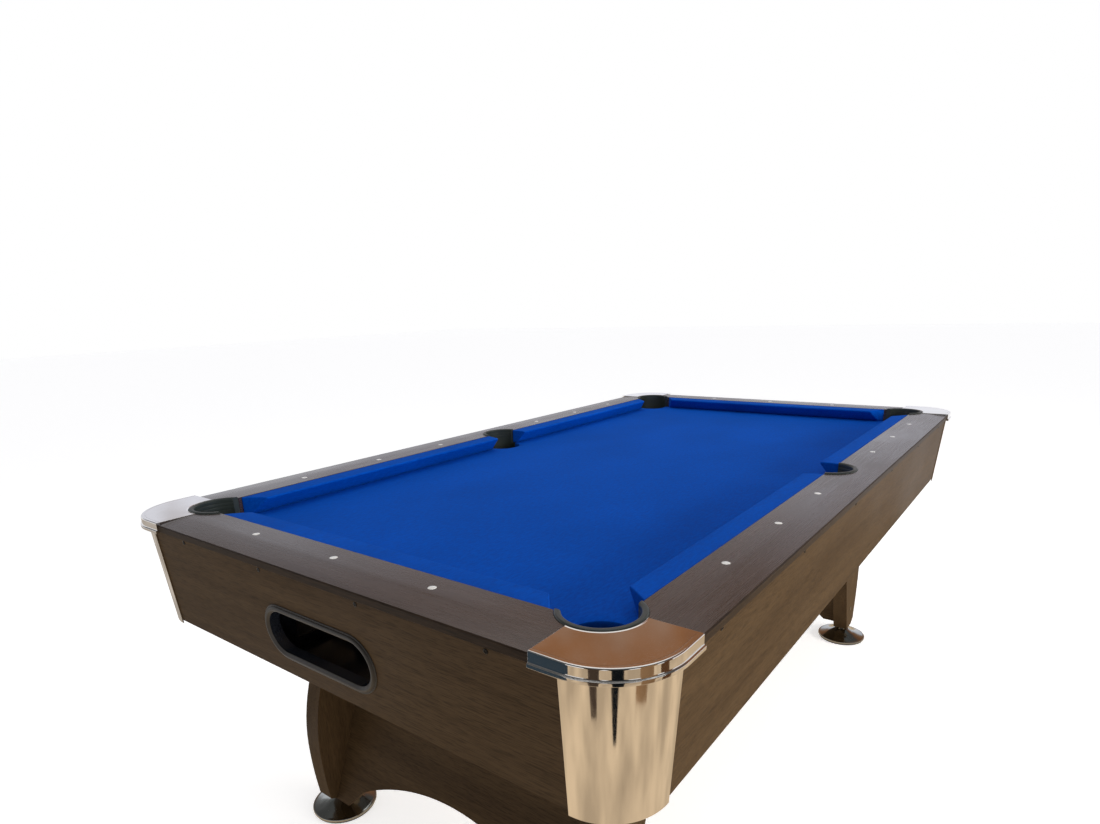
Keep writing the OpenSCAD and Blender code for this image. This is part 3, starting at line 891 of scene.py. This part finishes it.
def cap_path(low, high, inset):
    """Outer edge of the rear right cap's top in plan, moved in, with its outward directions."""
    reach_x = high.x - CAP_FLARE - inset
    reach_y = high.y - CAP_FLARE - inset
    radius = CAP_RADIUS - inset
    center = (reach_x - radius, reach_y - radius)
    path = [((reach_x, low.y), (1, 0))]
    for a in quarter_turn(24):
        direction = (math.cos(a), math.sin(a))
        path.append(((center[0] + radius * direction[0], center[1] + radius * direction[1]), direction))
    path.append(((low.x, reach_y), (0, 1)))
    return path


def cap_band_section(top, low):
    """Section of a cap's turned-down lip with its flared rim: (outward offset, height) points."""
    points = [(-CAP_BAND, top), (-CAP_RIM - 1 * MM, top)]
    points += fillet((-CAP_RIM, top - CAP_RIM), CAP_RIM, 90, 0, 6)
    points += fillet((2.2 * MM, low + 8 * MM), 2.2 * MM, 180, 262, 5)
    points += fillet((CAP_FLARE - 0.8 * MM, low + 4.8 * MM), 0.8 * MM, 80, 0, 3)
    points += fillet((CAP_FLARE - 0.7 * MM, low + 0.7 * MM), 0.7 * MM, 0, -90, 3)
    points += [(-3.6 * MM, low), (-4 * MM, low + 0.5 * MM),
               (-4 * MM, top - 7 * MM), (-CAP_BAND, top - CAP_PLATE)]
    return points


def mirror_to(sx, sy):
    return Matrix.Diagonal((sx, sy, 1, 1))


def make_cap(name, sx, sy):
    """Chromed corner casting: flat top with a round cut-out, a beaded hole edge and a stepped rim."""
    low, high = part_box("cap_rear_right")
    mesh = bmesh.new()
    section = cap_band_section(high.z, low.z)
    rings = []
    for (x, y), (nx, ny) in cap_path(low, high, 0):
        rings.append([Vector((x + nx * offset, y + ny * offset, z)) for offset, z in section])
    rows = add_loft(mesh, rings)
    mesh.faces.new(rows[0])
    mesh.faces.new(rows[-1][::-1])
    add_cap_plate(mesh, low, high)
    bmesh.ops.transform(mesh, matrix=mirror_to(sx, sy), verts=mesh.verts)
    piece = make_piece(f"corner_cap_{name}", mesh, "chrome", "chrome", "table", f"cap_{name}")
    round_edges(piece, 0.35 * MM, 2, 50)


def add_cap_plate(mesh, low, high):
    """Flat top of the rear right cap inside its rim, with a rounded bead round the pocket."""
    hole = middle_of_box(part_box("liner_rear_right"))
    radius = LINER_OUTER + 0.4 * MM
    start = math.degrees(math.asin((low.y - hole.y) / radius))
    end = 90 - start
    outer = [p for p, _ in cap_path(low, high, CAP_BAND)]
    bead = [(0, high.z - CAP_PLATE)]
    bead += fillet((1.5 * MM, high.z - 0.9 * MM), 1.5 * MM, 180, 60, 7)
    bead += [(3.6 * MM, high.z)]
    steps = 48
    rings = []
    for i in range(steps + 1):
        a = math.radians(start + (end - start) * i / steps)
        direction = Vector((math.cos(a), math.sin(a), 0))
        rings.append([Vector((hole.x, hole.y, 0)) + direction * (radius + r) + Vector((0, 0, z))
                      for r, z in bead])
    rows = add_loft(mesh, rings, closed_rings=False)
    edge = [row[-1] for row in rows]
    rim = [mesh.verts.new((x, y, high.z)) for x, y in outer]
    mesh.faces.new(edge + rim[::-1])
    under = [mesh.verts.new((v.co.x, v.co.y, high.z - CAP_PLATE)) for v in rim]
    bottom = [row[0] for row in rows]
    mesh.faces.new(bottom[::-1] + under)
    for k, row in ((0, rows[0]), (-1, rows[-1])):
        mesh.faces.new(list(row) + [rim[k], under[k]])


def make_skirt(name, sx, sy):
    """Sheet-metal wrap on a cabinet corner, with rolled edges."""
    node = f"skirt_{name}"
    low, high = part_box("skirt_rear_right")
    spread = [v.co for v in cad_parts["skirt_rear_right"].data.vertices]
    reach = [(math.hypot(p.x - low.x, p.y - low.y), p.z) for p in spread]
    top_radius = max(r for r, z in reach if z > high.z - 1 * MM)
    foot_radius = max(r for r, z in reach if z < low.z + 1 * MM)
    sheet = 2.5 * MM
    rim = 0.9 * MM
    section = [(foot_radius - sheet, low.z), (foot_radius - rim, low.z)]
    section += fillet((foot_radius - rim, low.z + rim), rim, -90, 0, 4)
    section += [(top_radius, high.z - 1 * MM), (top_radius - 0.6 * MM, high.z), (top_radius - sheet, high.z)]
    mesh = bmesh.new()
    rows = add_loft(mesh, turn_section(section, low, quarter_turn(48)))
    mesh.faces.new(rows[0])
    mesh.faces.new(rows[-1][::-1])
    bmesh.ops.transform(mesh, matrix=mirror_to(sx, sy), verts=mesh.verts)
    piece = make_piece(f"corner_wrap_{name}", mesh, "skirt", "chrome", "table", node)
    round_edges(piece, 0.3 * MM, 2, 50)


def make_corners():
    for name, (sx, sy) in CORNERS.items():
        make_cap(name, sx, sy)
        make_skirt(name, sx, sy)


# ---------- ball return ----------

def make_channels():
    for side in SIDES:
        node_piece(f"{side}_gutter", f"{side}_ball_gutter", "channel", "channel", 0.6 * MM, 2)
        node_piece(f"{side}_ramp", f"{side}_ball_ramp", "channel", "channel", 0.6 * MM, 2)
    node_piece("ball_box", "ball_box_tray", "box", "box", 1.0 * MM, 3)


def slot_path(length, height, steps=20):
    """Points of a slot outline with their outward directions."""
    radius = height / 2
    path = []
    for sign, start in ((1, -90), (-1, 90)):
        for i in range(steps + 1):
            a = math.radians(start + 180 * i / steps)
            direction = Vector((math.cos(a), math.sin(a)))
            path.append((Vector((sign * (length / 2 - radius), 0)) + direction * radius, direction))
    return path


def make_window_trim():
    """Moulded ring round the ball window: a grooved flange and a sleeve through the apron."""
    low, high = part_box("window_trim")
    normal = apron_normal("front_apron")
    flange = 14 * MM
    lean_cos = -normal.y
    length = high.x - low.x - 2 * flange
    face = max(v.co.dot(normal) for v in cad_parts["front_apron"].data.vertices)
    points = [v.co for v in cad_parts["window_trim"].data.vertices]
    depth = min(p.dot(normal) for p in points) - face
    bottom, top = box_of([p for p in points if p.dot(normal) > face + 1 * MM])
    middle = (bottom + top) / 2
    height = (top.z - bottom.z - 4 * MM * abs(normal.z)) / lean_cos - 2 * flange
    up = normal.cross(Vector((-1, 0, 0))).normalized()
    if up.z < 0:
        up = -up
    origin = middle + normal * (face - middle.dot(normal))
    section = [(8.6 * MM, 0.05 * MM), (flange - 0.4 * MM, 0.05 * MM), (flange, 0.5 * MM),
               (flange - 0.3 * MM, 1.6 * MM), (flange - 1.2 * MM, 2.1 * MM), (flange - 2.2 * MM, 1.6 * MM),
               (flange - 2.8 * MM, 1.5 * MM)]
    section += fillet((6.4 * MM, 0.6 * MM), 4.6 * MM, 12, 150, 10)
    section += [(0.6 * MM, 2.2 * MM), (0, 1.2 * MM), (0, depth), (4 * MM, depth), (4 * MM, -0.3 * MM)]
    mesh = bmesh.new()
    rings = []
    for spot, direction in slot_path(length, height):
        ring = []
        for offset, out in section:
            flat = spot + direction * offset
            ring.append(origin + Vector((1, 0, 0)) * flat.x + up * flat.y + normal * out)
        rings.append(ring)
    add_loft(mesh, rings, closed_loft=True)
    piece = make_piece("ball_window_ring", mesh, "trim", "trim", "table", "window_trim")
    piece.data.materials.append(MATERIALS["box"])
    for face in piece.data.polygons:
        if (face.center - origin).dot(normal) < 1 * MM and face.normal.dot(normal) < 0.5:
            face.material_index = 1
    round_edges(piece, 0.25 * MM, 2, 50)


# ---------- legs ----------

def make_legs():
    for name in CORNERS:
        node_piece(f"leg_{name}", f"leg_{name}_board", "laminate_z", "laminate", 1.2 * MM)
    for end in ENDS:
        node_piece(f"{end}_arch_panel", f"{end}_arch_board", "laminate_x", "laminate", 1.2 * MM)


def make_cover_caps():
    """Low domed covers over the panel screws."""
    mesh = bmesh.new()
    for points in node_islands("cover_caps"):
        middle = middle_of_box(box_of(points))
        sign = 1 if middle.x > 0 else -1
        radius = (max(p.z for p in points) - min(p.z for p in points)) / 2
        inner = min(abs(p.x) for p in points)
        place = facing((sign, 0, 0), (sign * inner, middle.y, middle.z))
        profile = [(0, 0), (radius, 0), (radius, 0.5 * MM), (radius - 0.4 * MM, 0.95 * MM),
                   (radius * 0.8, 1.2 * MM), (radius * 0.45, 1.36 * MM), (0, 1.4 * MM)]
        add_lathe(mesh, profile, place, 36)
    make_piece("screw_covers", mesh, "cover", "cover", "table", "cover_caps")


def hexagon(apothem):
    """Radius of a hexagon at an angle."""
    def radius(angle):
        turned = (angle + math.pi / 6) % (math.pi / 3) - math.pi / 6
        return apothem / math.cos(turned)
    return radius


def make_leg_bolts():
    """Socket-head bolts through the mounting boards, and plain screws in the legs."""
    mesh = bmesh.new()
    for points in node_islands("leg_bolts"):
        low, high = box_of(points)
        middle = (low + high) / 2
        if high.z - low.z > 50 * MM:
            add_bolt(mesh, middle, low.z, high.z, (high.x - low.x) / 2)
        else:
            sign = 1 if middle.x > 0 else -1
            radius = (high.z - low.z) / 2
            place = facing((sign, 0, 0), middle)
            half = (high.x - low.x) / 2
            profile = [(0, -half), (radius - 0.4 * MM, -half), (radius, -half + 1 * MM),
                       (radius, half - 1 * MM), (radius - 0.4 * MM, half), (0, half)]
            add_lathe(mesh, profile, place, 24)
    piece = make_piece("leg_bolt_set", mesh, "bolt", "bolt", "table", "leg_bolts")
    round_edges(piece, 0.2 * MM, 2, 40)


def add_bolt(mesh, middle, low, high, head_radius):
    head = 6.5 * MM
    shank = 5 * MM
    neck = high - head
    profile = [(0, low), (shank - 1 * MM, low), (shank, low + 1 * MM), (shank, neck), (head_radius, neck),
               (head_radius, high - 0.8 * MM), (head_radius - 0.8 * MM, high), (hexagon(3 * MM), high),
               (hexagon(3 * MM), high - 4 * MM), (0, high - 4.6 * MM)]
    add_lathe(mesh, profile, upright(middle.x, middle.y), 48)


def make_inserts():
    node_piece("foot_inserts", "threaded_inserts", "insert", "insert", 0.4 * MM, 2)


# ---------- levelling feet ----------

STEM = 8 * MM
THREAD_PITCH = 2 * MM


def disc_profile(low, high, radius):
    """Profile of a foot disc with a rolled rim, a hollowed dome and a threaded stem."""
    bore = 10.06 * MM
    hub = 36.2 * MM
    points = [(0, 12 * MM), (bore, 12 * MM), (bore, low), (radius - 1.6 * MM, low)]
    points += fillet((radius - 1.6 * MM, low + 1.6 * MM), 1.6 * MM, -90, 0, 4)
    points += fillet((radius - 2.4 * MM, low + 4.4 * MM), 2.4 * MM, 0, 75, 5)
    dome = 20
    start = (radius - 5 * MM, low + 6.9 * MM)
    end = (24 * MM, hub - 2 * MM)
    for i in range(dome + 1):
        t = i / dome
        r = start[0] + (end[0] - start[0]) * t
        z = start[1] + (end[1] - start[1]) * (0.62 * t + 0.38 * t ** 3)
        points.append((r, z))
    points += fillet((21 * MM, hub - 2 * MM), 2 * MM, 35, 90, 4)
    points += [(STEM + 1.6 * MM, hub), (STEM - 0.9 * MM, hub + 0.8 * MM)]
    z = hub + 2 * MM
    while z < high - 4 * MM:
        points += [(STEM - 0.9 * MM, z - 0.25 * MM), (STEM - 0.05 * MM, z + 0.75 * MM)]
        z += THREAD_PITCH
    points += [(STEM - 0.9 * MM, high - 2.5 * MM), (STEM - 2 * MM, high), (0, high)]
    return points


def make_foot(place):
    """A chromed disc with its stem, and the rubber sole under it."""
    low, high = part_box(f"disc_{place}")
    middle = (low + high) / 2
    radius = (high.x - low.x) / 2
    mesh = bmesh.new()
    add_lathe(mesh, disc_profile(low.z, high.z, radius), upright(middle.x, middle.y), 128)
    piece = make_piece(f"foot_disc_{place}", mesh, "disc", "chrome", f"knob_{place}", f"disc_{place}")
    round_edges(piece, 0.2 * MM, 2, 60)
    low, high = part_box(f"sole_{place}")
    radius = (high.x - low.x) / 2
    top = 5 * MM
    pin = 10 * MM
    profile = [(0, 0), (20 * MM, 0)]
    for k in range(5):
        r = 24 * MM + k * 10 * MM
        profile += [(r, 0), (r + 0.8 * MM, 0.9 * MM), (r + 2.2 * MM, 0.9 * MM), (r + 3 * MM, 0)]
    profile += [(radius - 0.8 * MM, 0), (radius, 0.8 * MM),
                (radius, top - 0.6 * MM), (radius - 0.6 * MM, top),
                (pin, top), (pin, high.z - 0.6 * MM), (pin - 0.6 * MM, high.z), (0, high.z)]
    mesh = bmesh.new()
    add_lathe(mesh, profile, upright(middle.x, middle.y), 96)
    piece = make_piece(f"foot_sole_{place}", mesh, "sole", "sole", f"foot_{place}", f"sole_{place}")
    weigh_normals(piece)


# ---------- studio ----------

def make_floor():
    mesh = bmesh.new()
    bmesh.ops.create_grid(mesh, x_segments=1, y_segments=1, size=30)
    floor = stage_object("floor", mesh)
    material, tree, shader = new_material("floor_white")
    speckle = pattern(tree, (6, 6, 6), 3, 0.5)
    plug(shader, "Base Color", two_tone(tree, speckle, (0.86, 0.86, 0.86), (0.88, 0.88, 0.88)))
    plug(shader, "Roughness", 0.8)
    plug(shader, "Specular IOR Level", 0.2)
    plug(shader, "Emission Color", (1, 1, 1, 1))
    plug(shader, "Emission Strength", 0.58)
    floor.data.materials.append(material)


def stage_object(name, mesh):
    """An object of the studio, which isn't part of the table."""
    item = mesh_object(name, mesh)
    return item


def make_card(name, place, target, size, color, foot=1.0):
    """A glowing studio card that only reflections see: it paints a reflection into glossy surfaces and
    lights nothing. foot: width of its lower edge over its upper.
    """
    mesh = bmesh.new()
    bmesh.ops.create_grid(mesh, x_segments=1, y_segments=1, size=0.5)
    for vert in mesh.verts:
        if vert.co.y < 0:
            vert.co.x *= foot
    stretch = Matrix.Diagonal((size[0], size[1], 1, 1))
    turn = facing(Vector(target) - Vector(place), place)
    bmesh.ops.transform(mesh, matrix=turn @ stretch, verts=mesh.verts)
    card = stage_object(name, mesh)
    material, tree, shader = new_material(name)
    plug(shader, "Base Color", (0, 0, 0, 1))
    plug(shader, "Specular IOR Level", 0.0)
    reflection_mottle = pattern(tree, (2.4, 2.4, 2.4), 3, 0.5)
    dim = [0.78 * c for c in color]
    bright = [1.24 * c for c in color]
    # Painted reflection: the card glows with a mottled colour that only reflections see.
    plug(shader, "Emission Color", ramp(tree, reflection_mottle, [(0.38, dim), (0.62, bright)]))
    plug(shader, "Emission Strength", 1.0)
    card.data.materials.append(material)
    card.visible_camera = False
    card.visible_diffuse = False
    card.visible_shadow = False


SKIRT_AXIS = Vector((0.5035, -0.9685, 0))
CARD_DISTANCE = 0.556


def stand_card(name, azimuth, middle_z, size, color, foot=1.0):
    """A card that stands round the front right corner and faces it."""
    turn = math.radians(azimuth)
    place = SKIRT_AXIS + CARD_DISTANCE * Vector((math.cos(turn), math.sin(turn), 0))
    place.z = middle_z
    make_card(name, place, (SKIRT_AXIS.x, SKIRT_AXIS.y, middle_z), size, color, foot)


def lay_card(name, x, y, size, color):
    """A glowing card that lies just over the floor and faces up, painting a floor reflection into glossy
    surfaces.
    """
    place = Vector((x, y, 0.004))
    make_card(name, place, place + Vector((0, 0, 1)), size, color)


def make_cards():
    """Glowing cards that stand before the front right corner or lie over the floor: painted reflections that
    show in its chrome.
    """
    stand_card("dark_card", -48, 0.67, (0.30, 0.8), (0.006, 0.008, 0.01), 0.14)
    stand_card("umber_card", -75, 0.71, (0.24, 0.74), (0.06, 0.04, 0.028), 0.3)
    stand_card("tan_card", -14, 0.78, (0.24, 0.8), (0.28, 0.16, 0.08), 0.6)
    stand_card("slate_card", -118, 0.76, (0.24, 0.5), (0.03, 0.045, 0.06))
    stand_card("walnut_card", 10, 0.76, (0.12, 0.5), (0.10, 0.045, 0.02))
    # Painted reflections of a warm floor and a greyer floor, seen only in reflections.
    lay_card("warm_floor_reflection", 1.9, -1.0, (5.2, 7), (0.64, 0.49, 0.33))
    lay_card("left_floor_reflection", -2.8, -1.8, (3.6, 5), (0.50, 0.45, 0.40))


def make_world():
    """White backdrop, neutral soft light, and a darker warm ceiling for reflections."""
    world = bpy.data.worlds.new("studio")
    bpy.context.scene.world = world
    world.use_nodes = True
    tree = world.node_tree
    background = next(n for n in tree.nodes if n.type == "BACKGROUND")
    direction = tree.nodes.new("ShaderNodeTexCoord").outputs["Generated"]
    parts = add_node(tree, "ShaderNodeSeparateXYZ", {"Vector": direction}).outputs
    stops = [(0.0, (0.95, 0.96, 1.0)), (0.26, (0.84, 0.86, 0.98)), (0.36, (0.36, 0.25, 0.19)),
             (0.46, (0.30, 0.135, 0.06)), (0.6, (0.20, 0.10, 0.06)), (0.7, (0.09, 0.09, 0.09)),
             (1.0, (0.12, 0.12, 0.12))]
    plain = [(0.0, (0.95, 0.96, 1.0)), (0.26, (0.84, 0.86, 0.94)), (0.36, (0.32, 0.32, 0.33)),
             (0.46, (0.17, 0.17, 0.175)), (0.7, (0.09, 0.09, 0.09)), (1.0, (0.12, 0.12, 0.12))]
    drift = remap(tree, noise(tree, direction, 7, 3, 0.55), -0.1, 0.1)
    height = calculate(tree, "ADD", parts["Z"], drift)
    rearward = remap(tree, parts["Y"], 0.0, 1.0, 0.2, 0.55)
    surroundings = mix_color(tree, rearward, ramp(tree, height, plain), ramp(tree, height, stops))
    rays = tree.nodes.new("ShaderNodeLightPath").outputs
    lit = mix_color(tree, rays["Is Diffuse Ray"], surroundings, (0.45, 0.45, 0.46, 1))
    seen = mix_color(tree, rays["Is Camera Ray"], lit, (1, 1, 1, 1))
    plug(background, "Color", seen)


def area_light(name, place, target, size, energy, color=(1, 1, 1)):
    data = bpy.data.lights.new(name, "AREA")
    data.shape = "RECTANGLE"
    data.size, data.size_y = size
    data.energy = energy
    data.color = color
    light = new_object(name, data)
    light.matrix_world = facing(Vector(place) - Vector(target), place)
    return light


def make_lights():
    key = area_light("key_right", (4.6, 0.2, 1.5), (0, 0, 0.7), (3.5, 1.4), 190, (1.0, 0.96, 0.9))
    key.visible_glossy = False
    area_light("top_soft", (-0.4, 0.4, 3.4), (0, 0, 0.7), (2.6, 3.6), 26)


def set_look():
    scene = bpy.context.scene
    scene.view_settings.view_transform = "Standard"
    scene.view_settings.look = "None"


make_camera()
make_aprons()
make_hidden_boards()
make_apron_screws()
make_bed_cloth()
make_rails()
make_sights()
make_cushions()
make_liners()
make_corners()
make_channels()
make_window_trim()
make_legs()
make_cover_caps()
make_leg_bolts()
make_inserts()
for corner in CORNERS:
    make_foot(corner)
make_floor()
make_cards()
make_world()
make_lights()
set_look()
